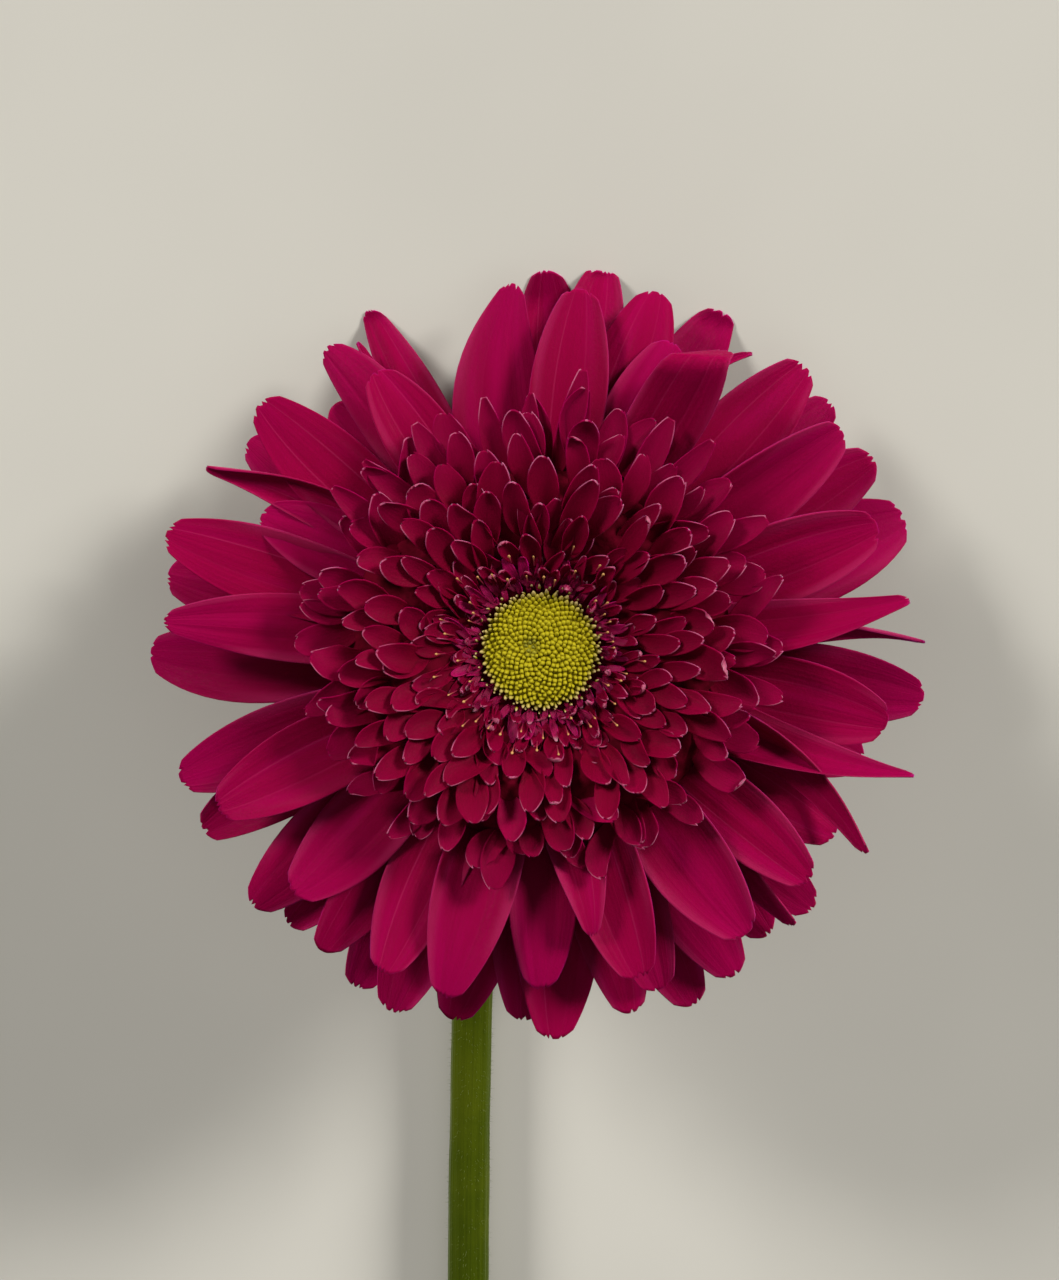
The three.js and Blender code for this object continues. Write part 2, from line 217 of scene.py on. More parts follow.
# Ring florets: the narrow straps round the disc, in rows of the same kind.
RING_ROWS = [
    (36, 8.3, 8.5, 10.6, 26, -22, 0.5, 0.5),
    (32, 8.9, 8.6, 11.8, 30, -8, 0.6, 0.6),
    (30, 9.7, 8.6, 13.2, 42, 12, 0.7, 0.9),
]
RING_THICKNESS = 0.2

# Disc: the closed florets in the middle, in a spiral of the golden angle, with a small dimple. DISC_RIM and
# DISC_TOP are heights of their tips.
DISC_RADIUS = 8.0
DISC_RIM = 9.1
DISC_TOP = 10.9
DIMPLE_PLACE = (-1.3, 0.5)
DIMPLE_RADIUS = 1.4
DIMPLE_DEPTH = 0.6
GOLDEN_ANGLE = math.pi * (3 - math.sqrt(5))
BUD_COUNT = 470
BUD_RADIUS = 0.5
BUD_HEIGHT = 1.0
BUD_SINK = 0.8
BUD_RINGS = 4
# Slim pale buds just outside the rim.
RIM_BUDS = 52
RIM_BUD_PLACES = (8.3, 9.3)
RIM_BUD_FOOT = 8.3
# Styles: thin stalks that stand among the ring florets. Their heads stand in circles of these radii.
STYLE_COUNT = 50
STYLE_CIRCLES = [10.6, 12.4, 13.6, 14.8]
STYLE_HEIGHTS = (12.2, 14.2)
STYLE_FOOT = 8.0
STYLE_RADIUS = 0.09
STYLE_SIDES = 6

# Surfaces of revolution that the petals stand on: [radius, height] round their sections.
RAY_DISH = [(0, -1.4), (15, -1.4), (16.9, -0.7), (16.9, 2.7), (12.3, 1.5), (0, 1.5)]
CREST_CORE = [
    (0, 2.4), (11.4, 2.4), (20, 6.3), (27.2, 9.2), (25, 11.6),
    (18.7, 13.2), (13, 10.1), (9.9, 8.1), (8.6, 7.6), (0, 7.6),
]
DISC_DOME = [(0, 7.4), (7.4, 7.4), (7.6, 8.5), (6.6, 9.3), (4.4, 10.0), (0, 10.15)]
CUP_PROFILE = [(0, -15), (3.4, -15), (5.6, -12.8), (8.8, -7.8), (10.8, -3.6), (11.6, -1.6), (0, -1.6)]

# Involucre: rows of narrow bracts. Each row: [count, radius and height of the roots, length, slope at the
# root, slope at the tip, half width].
BRACT_ROWS = [
    (21, 9.6, -6.8, 9.6, 54, 4, 1.35),
    (21, 8.4, -9.2, 8.6, 55, 26, 1.35),
    (16, 6.4, -11.8, 7.6, 52, 38, 1.3),
]
BRACT_THICKNESS = 0.4

# Stem: its centre line, close to the one in the part's source. Places are from the point under the bloom.
STEM_NECK_RADIUS = 2.95
STEM_END_RADIUS = 3.95
STEM_TAPER = 0.8
STEM_SIDES = 48
STEM_STEPS = 190
STEM_RIBS = 10
STEM_RIB_DEPTH = 0.014
STEM_SINK = 0.3
NECK_PULL = 9
BEND_PULL = 0.55
LYING_START = np.array([-10.5, -58, 3.2])
LYING_MIDDLE = np.array([-11.7, -112, 3.6])
LYING_LATE = np.array([-15.5, -210, 4.1])
CUT_END = np.array([-5, -300, 4.1])
# The cut face: its rings as shares of the stem's radius, how far each stands out past the one round it, and
# how far the lip of skin does.
CUT_RINGS = (0.985, 0.8, 0.55, 0.3, 0.06)
CUT_DOME = 0.16
CUT_LIP = 0.27
# Hairs of the stem: this many are tried, and those near the surface are left out. HAIR_WIDTH is half a
# hair's width at its root, and HAIR_TIP its tip's share of that.
HAIR_COUNT = 4800
HAIR_LENGTH = (0.3, 0.8)
HAIR_WIDTH = 0.019
HAIR_TIP = 0.35
HAIR_SINK = 0.05
HAIR_LOWEST = 0.4

# Shares of a petal's length at which its middle line is worked out.
PATH = np.linspace(0, 1, 49)
UP = np.array([0.0, 0.0, 1.0])


def to_row(points):
    """Points of the bloom's own frame, in mm, in the row frame, in mm."""
    return points @ BLOOM_AXES + BLOOM_PLACE


def unit(vectors):
    """Vectors scaled to length 1."""
    return vectors / np.maximum(np.linalg.norm(vectors, axis=-1, keepdims=True), 1e-9)


def mixed(a, b, share):
    """A value between a, where share is 0, and b, where it is 1."""
    return a + (b - a) * share


# ---- meshes ----


class Build:
    """Gathers vertices, faces and vertex attributes of one piece, in mm of the row frame."""

    def __init__(self):
        self.points = []
        self.faces = []
        self.values = {}
        self.count = 0

    def add(self, points, faces, **values):
        """Adds a part. Each value is one number for the part or one for each of its points."""
        self.points.append(points)
        self.faces.append(faces + self.count)
        for name, value in values.items():
            filled = np.broadcast_to(np.asarray(value, float), len(points))
            self.values.setdefault(name, []).append(filled)
        self.count += len(points)

    def piece(self, name, material, slot, replaces=None):
        """Makes the piece, which may stand for a node of the part."""
        mesh = bpy.data.meshes.new(name)
        mesh.from_pydata(np.concatenate(self.points) * MM, [], np.concatenate(self.faces))
        for label, parts in self.values.items():
            layer = mesh.attributes.new(label, "FLOAT", "POINT")
            layer.data.foreach_set("value", np.concatenate(parts).astype(np.float32))
        mesh.validate()
        mesh.shade_smooth()
        mesh.materials.append(material)
        piece = bpy.data.objects.new(name, mesh)
        bpy.context.scene.collection.objects.link(piece)
        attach(piece, "root")
        if replaces:
            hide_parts(replaces)


def grid_quads(grid, wrap=False):
    """Quads between the neighbouring rows and columns of a grid of vertex numbers."""
    right = np.roll(grid, -1, axis=1) if wrap else grid[:, 1:]
    left = grid if wrap else grid[:, :-1]
    corners = [left[:-1], right[:-1], right[1:], left[1:]]
    return np.stack(corners, axis=-1).reshape(-1, 4)


def shell_quads(rows, columns):
    """Quads of a closed shell: an upper grid, the lower grid after it, and the rim between them."""
    upper = np.arange(rows * columns).reshape(rows, columns)
    lower = upper + rows * columns
    border = np.concatenate([upper[0, ::-1], upper[1:, 0], upper[-1, 1:], upper[-2:0:-1, -1]])
    after = np.roll(border, -1)
    rim = np.stack([border, after, after + rows * columns, border + rows * columns], axis=-1)
    return np.concatenate([grid_quads(upper), grid_quads(lower)[:, ::-1], rim])


def cap_quads(ring, middle):
    """Quads between a ring of an even number of points and the point in its middle."""
    closed = np.append(ring, ring[0])
    return np.stack([np.full(len(ring) // 2, middle), closed[:-1:2], closed[1::2], closed[2::2]], axis=-1)


def tube(line, radii, sides, ribs=0, rib_depth=0.0):
    """A closed tube round a line: its points, quads, and the way out from the line at each ring point."""
    along = unit(np.gradient(line, axis=0))
    side = np.zeros_like(line)
    side[0] = unit(np.cross(along[0], [0.3, 1, 0.2]))
    for i in range(1, len(line)):
        side[i] = unit(side[i - 1] - (side[i - 1] @ along[i]) * along[i])
    other = np.cross(along, side)
    turn = np.arange(sides) / sides * 2 * math.pi
    swell = 1 + rib_depth * np.cos(turn * ribs)
    rim = side[:, None] * np.cos(turn)[None, :, None] + other[:, None] * np.sin(turn)[None, :, None]
    rings = line[:, None] + rim * (radii[:, None] * swell[None, :])[..., None]
    points = rings.reshape(-1, 3)
    grid = np.arange(len(points)).reshape(len(line), sides)
    first_cap = cap_quads(grid[0], len(points))[:, [0, 3, 2, 1]]
    last_cap = cap_quads(grid[-1], len(points) + 1)
    quads = np.concatenate([grid_quads(grid, wrap=True), first_cap, last_cap])
    return np.concatenate([points, line[:1], line[-1:]]), quads, rim.reshape(-1, 3)


def rings_round(radii, heights, sides):
    """Points on rings round +Z, and the quads between the rings."""
    turn = np.arange(sides) / sides * 2 * math.pi
    x = radii[:, None] * np.cos(turn)
    y = radii[:, None] * np.sin(turn)
    z = np.broadcast_to(heights[:, None], x.shape)
    grid = np.arange(x.size).reshape(x.shape)
    return np.stack([x, y, z], axis=-1).reshape(-1, 3), grid_quads(grid, wrap=True)


def revolved(profile, steps=6, sides=72):
    """A closed surface round the bloom's axis, its profile cut finer, in the row frame."""
    section = np.array(profile, float)
    section[:, 0] = np.maximum(section[:, 0], TINY_RADIUS)
    cuts = np.linspace(0, len(section) - 1, (len(section) - 1) * steps + 1)
    radius = np.interp(cuts, np.arange(len(section)), section[:, 0])
    height = np.interp(cuts, np.arange(len(section)), section[:, 1])
    points, quads = rings_round(radius, height, sides)
    return to_row(points), quads


# ---- petals ----


@dataclass
class Petal:
    """A petal in the bloom's own frame. Lengths are in mm, angles in degrees, section angles in radians.

    It runs from radius root and height low, with slope rise, to radius reach, with slope tip. Lean turns
    its root, sway bows its middle, roll twists it, cup bends its section, and curl its end, from curl_from
    on. One with a longest length may stop short of its reach. Fold is a crease's place, slant and angle.
    Teeth are pairs of a column and how far it is cut back.
    """

    clock: float
    reach: float
    root: float
    low: float
    rise: float
    tip: float
    half: float
    lean: float = 0
    sway: float = 0
    roll: float = 0
    cup_root: float = 0
    cup_tip: float = 0
    curl: float = 0
    curl_from: float = 0.72
    longest: float = math.inf
    taper: float = 0
    furrow: float = 0
    wave: float = 0
    phase: float = 0
    fold: tuple = ()
    teeth: tuple = ()


def outline(t):
    """Half the width of a petal, as a share of its widest, at the share t of its length."""
    widening = CLAW + (1 - CLAW) * np.sin(math.pi / 2 * np.minimum(t, WIDEST) / WIDEST)
    closing = np.clip((t - WIDEST) / (1 - WIDEST), 0, 1)
    return np.where(t < WIDEST, widening, np.cos(math.pi / 2 * TIP_SHAPE * closing) ** TIP_FULLNESS)


def petal_path(petal):
    """The middle line at PATH: points and the directions along, across and out, and the line's length."""
    bend = np.clip((PATH - petal.curl_from) / (1 - petal.curl_from), 0, 1) ** 1.5
    slope = np.radians(mixed(petal.rise, petal.tip, PATH) + petal.curl * bend)
    middle = (slope[1:] + slope[:-1]) / 2
    out = np.concatenate([[0], np.cumsum(np.cos(middle))])
    up = np.concatenate([[0], np.cumsum(np.sin(middle))])
    scale = min((petal.reach - petal.root) / out.max(), petal.longest / (len(PATH) - 1))
    out = petal.root + out * scale
    up = petal.low + up * scale
    clock = np.radians(petal.clock + petal.lean * (1 - PATH) ** 2 + petal.sway * np.sin(math.pi * PATH))
    points = np.stack([out * np.sin(clock), out * np.cos(clock), up], axis=-1)
    along = unit(np.gradient(points, axis=0))
    across = np.stack([np.cos(clock), -np.sin(clock), np.zeros_like(clock)], axis=-1)
    across = unit(across - np.sum(across * along, axis=-1, keepdims=True) * along)
    flat_out = np.cross(across, along)
    roll = np.radians(petal.roll * np.sin(math.pi / 2 * PATH))[:, None]
    across = across * np.cos(roll) - flat_out * np.sin(roll)
    frames = np.concatenate([points, along, across, np.cross(across, along)], axis=-1)
    return frames, scale * (len(PATH) - 1)


def on_path(frames, t):
    """The path's point and directions at each t."""
    place = np.clip(t, 0, 1) * (len(PATH) - 1)
    index = np.minimum(place.astype(int), len(PATH) - 2)
    share = (place - index)[..., None]
    found = frames[index] * (1 - share) + frames[index + 1] * share
    return found[..., 0:3], found[..., 3:6], found[..., 6:9], found[..., 9:12]


def fold_over(petal, x, y):
    """Moves what lies beyond a petal's crease: the crease's foot, and how far past it and back it goes."""
    at, slant, angle = petal.fold
    slant = math.radians(slant)
    beyond = np.maximum(-x * math.sin(slant) + (y - at) * math.cos(slant), 0)
    foot_x = x + beyond * math.sin(slant)
    foot_y = y - beyond * math.cos(slant)
    bent = np.minimum(beyond / FOLD_RADIUS, math.radians(angle))
    rest = beyond - bent * FOLD_RADIUS
    forward = FOLD_RADIUS * np.sin(bent) + rest * np.cos(bent)
    back = FOLD_RADIUS * (1 - np.cos(bent)) + rest * np.sin(bent)
    return foot_x, foot_y, -forward * math.sin(slant), forward * math.cos(slant), back


def petal_shell(petal, stations, sides, thickness):
    """A petal's upper and lower grids in the bloom's frame, and its attributes."""
    frames, length = petal_path(petal)
    ends = np.ones(len(sides))
    for column, depth in petal.teeth:
        ends[column] -= depth / length
    t = stations[:, None] * ends[None, :]
    u = np.broadcast_to(sides[None, :], t.shape)
    pointed = 1 - petal.taper * np.clip((t - 0.3) / 0.7, 0, 1) ** 1.2
    half = petal.half * outline(t) * pointed
    angle = mixed(petal.cup_root, petal.cup_tip, t) * u
    x = half * u * np.sinc(angle / math.pi)
    lift = half * u * angle / 2 * np.sinc(angle / 2 / math.pi) ** 2
    fade = np.sin(math.pi * np.clip(t, 0, 1)) ** 0.5
    lift = lift - petal.furrow * fade * np.exp(-(((np.abs(u) - FURROW_PLACE) / FURROW_WIDTH) ** 2))
    ripple = np.sin(2 * math.pi * (1.4 * t + petal.phase)) * u
    ripple = ripple + np.cos(2 * math.pi * (0.9 * t - petal.phase))
    lift = lift + petal.wave * petal.half * fade * np.abs(u) ** 1.5 * ripple
    y = t * length
    slide_x = slide_y = back = np.zeros_like(y)
    if petal.fold:
        x, y, slide_x, slide_y, back = fold_over(petal, x, y)
    point, along, across, out = on_path(frames, y / length)
    upper = point + across * (x + slide_x)[..., None] + along * slide_y[..., None]
    upper = upper + out * (lift - back)[..., None]
    normal = unit(np.cross(np.gradient(upper, axis=1), np.gradient(upper, axis=0)))
    thick = thickness * (0.5 + 0.5 * (1 - np.abs(u) ** 3))
    lower = upper - normal * thick[..., None]
    edge = np.minimum((1 - np.abs(u)) * half, np.maximum((1 - stations[:, None]) * length, 0))
    from_axis = np.hypot(upper[..., 0], upper[..., 1])
    return upper, lower, {"along": t, "side": u, "edge": edge, "from_axis": from_axis}


def add_petal(build, petal, stations, sides, thickness, tone, on_surface=False):
    """Adds a petal as a closed shell, kept above the surface where it may come down to it."""
    upper, lower, values = petal_shell(petal, stations, sides, thickness)
    upper = to_row(upper)
    lower = to_row(lower)
    if on_surface:
        lower[..., 2] = np.maximum(lower[..., 2], SURFACE_GAP)
        upper[..., 2] = np.maximum(upper[..., 2], lower[..., 2] + thickness * 0.6)
    points = np.concatenate([upper.reshape(-1, 3), lower.reshape(-1, 3)])
    doubled = {name: np.tile(value.ravel(), 2) for name, value in values.items()}
    inside = np.minimum(values["edge"].ravel() / 0.15, 1)
    under = np.concatenate([np.zeros_like(inside), inside])
    quads = shell_quads(len(stations), len(sides))
    build.add(points, quads, under=under, tone=tone, **doubled)


def sides_of(*inner):
    """Columns of a petal's grid, the same on both sides of its middle."""
    return np.array([-s for s in (1, *inner)] + [0] + [s for s in reversed((1, *inner))])


def add_rows(build, rows, petal_of, grid, random):
    """Adds rows of petals. A row starts with how many. Grid is their stations, sides and thickness."""
    for row_index, row in enumerate(rows):
        for i in range(row[0]):
            petal = petal_of(row, row_index, i, random)
            add_petal(build, petal, *grid, random.random())


RAY_SIDES = sides_of(0.94, 0.82, 0.68, 0.54, 0.42, 0.3, 0.15)
RAY_STATIONS = np.concatenate([np.linspace(0, 0.86, 19), [0.9, 0.935, 0.965, 0.985, 1]])
CREST_STATIONS = np.concatenate([np.linspace(0, 0.8, 8), [0.88, 0.94, 0.98, 1]])
CREST_GRID = (CREST_STATIONS, sides_of(0.9, 0.66, 0.34), CREST_THICKNESS)
RING_STATIONS = np.array([0, 0.2, 0.4, 0.6, 0.75, 0.88, 0.96, 1])
RING_GRID = (RING_STATIONS, sides_of(0.72), RING_THICKNESS)
BRACT_STATIONS = np.concatenate([np.linspace(0, 0.85, 9), [0.92, 0.97, 1]])
BRACT_GRID = (BRACT_STATIONS, sides_of(0.85, 0.45), BRACT_THICKNESS)


def ray_petal(row, index, random):
    """A long outer petal, most of them with a toothed tip and some with a form of their own."""
    clock, reach, layer, half, lean, roll = row
    front = layer / LAST_LAYER
    lift = LOWER_LIFT * (1 - math.cos(math.radians(clock))) / 2
    low, rise, tip = (mixed(BACK_LAYER[key], FRONT_LAYER[key], front) for key in ("low", "rise", "tip"))
    notches = random.permutation([3, 5, 7, 8, 10, 12])[: random.integers(2, 5)]
    teeth = [(column, TIP_ROUNDING * abs(side) ** 3) for column, side in enumerate(RAY_SIDES)]
    cuts = [(int(column), random.uniform(0.3, 0.75)) for column in notches]
    if (clock, reach) not in SMOOTH_TIPS:
        teeth += cuts
    petal = Petal(
        clock=clock,
        reach=reach + TIP_SPARE,
        root=RAY_ROOT_RADIUS,
        low=low + 0.12 * (index % 3),
        rise=rise + random.uniform(-1, 1),
        tip=tip + lift + random.uniform(-4, 4),
        half=half,
        lean=lean,
        sway=random.uniform(-1.2, 1.2),
        roll=roll + random.uniform(-4, 4),
        cup_root=0.6,
        cup_tip=random.uniform(-0.45, 0.6),
        curl=random.uniform(-22, 14),
        furrow=random.uniform(0.16, 0.3),
        wave=random.uniform(0.04, 0.11),
        phase=random.uniform(0, 1),
        teeth=tuple(teeth),
    )
    for name, value in RAY_FORMS.get((clock, reach), {}).items():
        setattr(petal, name, value)
    return petal


def crest_petal(row, row_index, i, random):
    """A short cupped petal of one of the crest's rows. Some of them curl right over at the tip."""
    count, root, low, reach, rise, tip, half, cup = row
    inner = row_index < INNER_ROWS
    folded = random.random() < (0.25 if inner else 0.08)
    clock = 360 * (i + row_index % 2 / 2) / count + random.normal(0, 2.8)
    return Petal(
        clock=clock,
        reach=reach * (1 + CREST_STRETCH * math.cos(math.radians(clock))) + random.normal(0, 0.8),
        root=root,
        low=low,
        rise=rise + random.normal(0, 6 if inner else 3),
        tip=tip + random.normal(0, 20 if inner else 5),
        half=half * random.uniform(0.74, 1.14),
        lean=random.normal(0, 8 if inner else 6.5),
        sway=random.normal(0, 1.2),
        roll=random.normal(0, 22 if inner else 14),
        cup_root=cup,
        cup_tip=cup * random.uniform(0.3, 0.9),
        curl=random.uniform(90, 160) if folded else random.uniform(-15, 40),
        curl_from=0.8 if folded else 0.7,
        longest=2.2 + 2.9 * half if inner else math.inf,
        taper=random.uniform(0, 0.35),
        wave=random.uniform(0.02, 0.13),
        phase=random.uniform(0, 1),
        teeth=((0, 0.35), (1, 0.1), (5, 0.1), (6, 0.35), (3, random.uniform(-0.45, 0.2))),
    )


def long_crest_petal(row, random):
    """A crest petal that lies on the rays, longer than its row's."""
    clock, reach, half = row
    return Petal(
        clock=clock,
        reach=reach,
        root=LONG_ROOT_RADIUS,
        low=LONG_ROOT_HEIGHT,
        rise=17 + random.normal(0, 2),
        tip=2 + random.normal(0, 3),
        half=half,
        lean=random.normal(0, 4),
        roll=random.normal(0, 10),
        cup_root=0.9,
        cup_tip=0.6,
        curl=random.uniform(-5, 25),
        taper=random.uniform(0.15, 0.5),
        wave=0.05,
        phase=random.random(),
    )


def ring_petal(row, row_index, i, random):
    """A small narrow petal next to the disc."""
    count, root, low, reach, rise, tip, half, cup = row
    return Petal(
        clock=360 * (i + row_index % 2 / 2) / count + random.normal(0, 2.5),
        reach=reach + random.normal(0, 0.5),
        root=root,
        low=low,
        rise=rise + random.normal(0, 6),
        tip=tip + random.normal(0, 12),
        half=half * random.uniform(0.75, 1.2),
        lean=random.normal(0, 6),
        roll=random.normal(0, 22),
        cup_root=cup,
        cup_tip=cup * random.uniform(0.1, 1),
        curl=random.uniform(-30, 80),
        taper=random.uniform(0, 0.4),
    )


def bract(row, row_index, i, random):
    """A narrow leaf of the cup behind the petals."""
    count, root, low, length, rise, tip, half = row
    return Petal(
        clock=360 * (i + 0.37 * row_index) / count + random.normal(0, 1.5),
        reach=root + length * math.cos(math.radians((rise + tip) / 2)),
        root=root,
        low=low,
        rise=rise,
        tip=tip + random.normal(0, 6),
        half=half * random.uniform(0.9, 1.1),
        roll=random.normal(0, 4),
        cup_root=0.9,
        cup_tip=0.5,
        curl=random.uniform(-25, 5),
        taper=0.62,
        wave=0.05,
        phase=random.random(),
    )


# ---- materials ----


class Graph:
    """A Principled material and short ways to wire the colour, roughness and relief that feed it."""

    def __init__(self, name, roughness, specular, sheen=0.0, sheen_tint=(1, 1, 1), sheen_roughness=0.4):
        self.material = bpy.data.materials.new(name)
        self.material.use_nodes = True
        self.tree = self.material.node_tree
        self.shader = self.tree.nodes["Principled BSDF"]
        self.shader.inputs["Roughness"].default_value = roughness
        self.shader.inputs["Specular IOR Level"].default_value = specular
        self.shader.inputs["Sheen Weight"].default_value = sheen
        self.shader.inputs["Sheen Tint"].default_value = (*sheen_tint, 1)
        self.shader.inputs["Sheen Roughness"].default_value = sheen_roughness

    def node(self, kind, **settings):
        made = self.tree.nodes.new(kind)
        for name, value in settings.items():
            setattr(made, name, value)
        return made

    def feed(self, socket, value):
        if isinstance(value, bpy.types.NodeSocket):
            self.tree.links.new(value, socket)
        else:
            socket.default_value = value

    def attribute(self, name):
        return self.node("ShaderNodeAttribute", attribute_name=name).outputs["Fac"]

    def math(self, operation, *values):
        made = self.node("ShaderNodeMath", operation=operation)
        for socket, value in zip(made.inputs, values):
            self.feed(socket, value)
        return made.outputs[0]

    def vector(self, x, y, z):
        made = self.node("ShaderNodeCombineXYZ")
        for socket, value in zip(made.inputs, (x, y, z)):
            self.feed(socket, value)
        return made.outputs[0]

    def place(self):
        return self.node("ShaderNodeTexCoord").outputs["Object"]

    def noise(self, vector, scale, detail):
        made = self.node("ShaderNodeTexNoise")
        self.feed(made.inputs["Vector"], vector)
        made.inputs["Scale"].default_value = scale
        made.inputs["Detail"].default_value = detail
        return made.outputs["Fac"]

    def spread(self, value, low, high, new_low=0.0, new_high=1.0):
        """Maps value from low..high onto new_low..new_high, smoothly and held at both ends."""
        made = self.node("ShaderNodeMapRange", interpolation_type="SMOOTHSTEP")
        self.feed(made.inputs["Value"], value)
        ends = {"From Min": low, "From Max": high, "To Min": new_low, "To Max": new_high}
        for name, end in ends.items():
            made.inputs[name].default_value = end
        return made.outputs["Result"]

    def ramp(self, factor, stops):
        made = self.node("ShaderNodeValToRGB")
        self.feed(made.inputs["Fac"], factor)
        elements = made.color_ramp.elements
        for (place, colour), element in zip(stops, elements):
            element.position = place
            element.color = (*colour, 1)
        for place, colour in stops[2:]:
            elements.new(place).color = (*colour, 1)
        return made.outputs["Color"]

    def mix(self, factor, a, b):
        made = self.node("ShaderNodeMix", data_type="RGBA")
        self.feed(made.inputs[0], factor)
        for socket, value in ((made.inputs[6], a), (made.inputs[7], b)):
            self.feed(socket, (*value, 1) if isinstance(value, tuple) else value)
        return made.outputs[2]

    def colour(self, value):
        self.feed(self.shader.inputs["Base Color"], value)

    def glow(self, weight, depth):
        """Lets light through the thin flesh: how much of it, and how deep in mm red light goes."""
        self.shader.inputs["Subsurface Weight"].default_value = weight
        self.shader.inputs["Subsurface Radius"].default_value = (1.0, 0.4, 0.8)
        self.shader.inputs["Subsurface Scale"].default_value = depth * MM

    def roughness(self, value):
        self.feed(self.shader.inputs["Roughness"], value)

    def bump(self, *reliefs):
        """Adds relief: pairs of a height from 0 to 1 and how many mm that is."""
        normal = None
        for height, depth in reliefs:
            made = self.node("ShaderNodeBump")
            made.inputs["Distance"].default_value = depth * MM
            self.feed(made.inputs["Height"], height)
            if normal:
                self.feed(made.inputs["Normal"], normal)
            normal = made.outputs["Normal"]
        self.feed(self.shader.inputs["Normal"], normal)


def lengthwise(graph, across, along, detail=3):
    """Noise drawn out along a petal, different on each petal."""
    x = graph.math("MULTIPLY", graph.attribute("side"), across)
    y = graph.math("MULTIPLY", graph.attribute("along"), along)
    z = graph.math("MULTIPLY", graph.attribute("tone"), 43.0)
    return graph.noise(graph.vector(x, y, z), 1, detail)


def ray_material():
    g = Graph("ray_velvet", 0.6, 0.015, sheen=0.02, sheen_tint=(1, 0.42, 0.55), sheen_roughness=0.3)
    along = g.attribute("along")
    tone = g.attribute("tone")
    # Darker and redder towards the root: partly the petal's own colour, partly painted shade where the
    # crest lies over it.
    face = g.ramp(along, [(0.3, (0.113, 0.0001, 0.01)), (1.0, (0.195, 0.0002, 0.036))])
    face = g.mix(g.spread(tone, 0, 1, 0, 0.4), face, (0.17, 0.0001, 0.017))
    veins = lengthwise(g, 9.0, 1.0)
    face = g.mix(g.spread(veins, 0.45, 0.75, 0, 0.15), face, (0.1, 0.0001, 0.01))
    broad = lengthwise(g, 2.2, 1.7, detail=1)
    face = g.mix(g.spread(broad, 0.5, 0.75, 0, 0.3), face, (0.24, 0.0003, 0.048))
    side = g.math("ABSOLUTE", g.attribute("side"))
    # Painted highlight: a pale line along each furrow, as if its edge caught the light, strong on some
    # petals and faint on others.
    fold = g.math("ABSOLUTE", g.math("SUBTRACT", side, FURROW_PLACE))
    crease = g.math("MULTIPLY", g.spread(fold, 0.0, 0.035, 1, 0), g.spread(veins, 0.35, 0.6, 0.2, 1.0))
    lined = g.spread(tone, 0.4, 0.6, 0.03, 0.25)
    face = g.mix(g.math("MULTIPLY", crease, lined), face, (0.3, 0.02, 0.08))
    # Painted sheen: patches of dusty pink along the outer part of each side, standing in for the velvet's
    # sheen at a glancing angle.
    pale_edge_patches = g.math("MULTIPLY", g.spread(side, 0.6, 1.0, 0, 0.45), g.spread(broad, 0.4, 0.6))
    face = g.mix(pale_edge_patches, face, (0.24, 0.014, 0.06))
    rim = g.spread(g.attribute("edge"), 0.0, 0.2, 0.3, 0)
    face = g.mix(rim, face, (0.2, 0.008, 0.05))
    stripes = g.spread(lengthwise(g, 17.0, 1.0), 0.38, 0.66)
    back = g.mix(stripes, (0.32, 0.03, 0.095), (0.18, 0.004, 0.04))
    g.colour(g.mix(g.attribute("under"), face, back))
    speckle = g.noise(g.place(), 2400, 2)
    g.roughness(g.spread(speckle, 0.3, 0.7, 0.46, 0.68))
    g.glow(0.35, 1.2)
    g.bump((veins, 0.1), (speckle, 0.04))
    return g.material


def crest_material():
    g = Graph("crest_velvet", 0.62, 0.015, sheen=0.015, sheen_tint=(1, 0.42, 0.55), sheen_roughness=0.3)
    along = g.attribute("along")
    tone = g.attribute("tone")
    # Darker towards the root: partly the florets' own colour, partly painted shade in the deep gaps between
    # them.
    face = g.ramp(along, [(0.3, (0.085, 0.0001, 0.007)), (0.95, (0.135, 0.0002, 0.0165))])
    face = g.mix(g.spread(tone, 0.2, 0.8, 0, 0.5), face, (0.1, 0.0002, 0.01))
    face = g.mix(g.spread(g.attribute("from_axis"), 24, 34, 0, 0.65), face, (0.14, 0.0002, 0.022))
    face = g.mix(g.spread(tone, 0.95, 0.98, 0, 0.5), face, (0.22, 0.0008, 0.034))
    veins = lengthwise(g, 6.0, 1.2)
    face = g.mix(g.spread(veins, 0.45, 0.75, 0, 0.12), face, (0.07, 0.0001, 0.006))
    edge = g.attribute("edge")
    # Pale line round the tips, in patches: partly the florets' pale margin, partly a painted highlight
    # where the thin edge catches the light.
    pale_edge_patches = g.spread(lengthwise(g, 1.3, 1.3, detail=0), 0.45, 0.65, 0.0, 1.0)
    rim = g.math("MULTIPLY", g.spread(edge, 0.03, 0.15, 0.85, 0), g.spread(along, 0.7, 0.94, 0.0, 1.0))
    face = g.mix(g.math("MULTIPLY", rim, pale_edge_patches), face, (0.3, 0.065, 0.12))
    back = g.mix(g.spread(veins, 0.35, 0.65), (0.26, 0.03, 0.075), (0.14, 0.005, 0.03))
    back = g.mix(g.spread(along, 0.85, 1.0, 0, 0.5), back, (0.42, 0.17, 0.22))
    g.colour(g.mix(g.attribute("under"), face, back))
    speckle = g.noise(g.place(), 3000, 2)
    g.roughness(g.spread(speckle, 0.3, 0.7, 0.5, 0.72))
    g.glow(0.35, 1.2)
    g.bump((veins, 0.05), (speckle, 0.03))
    return g.material


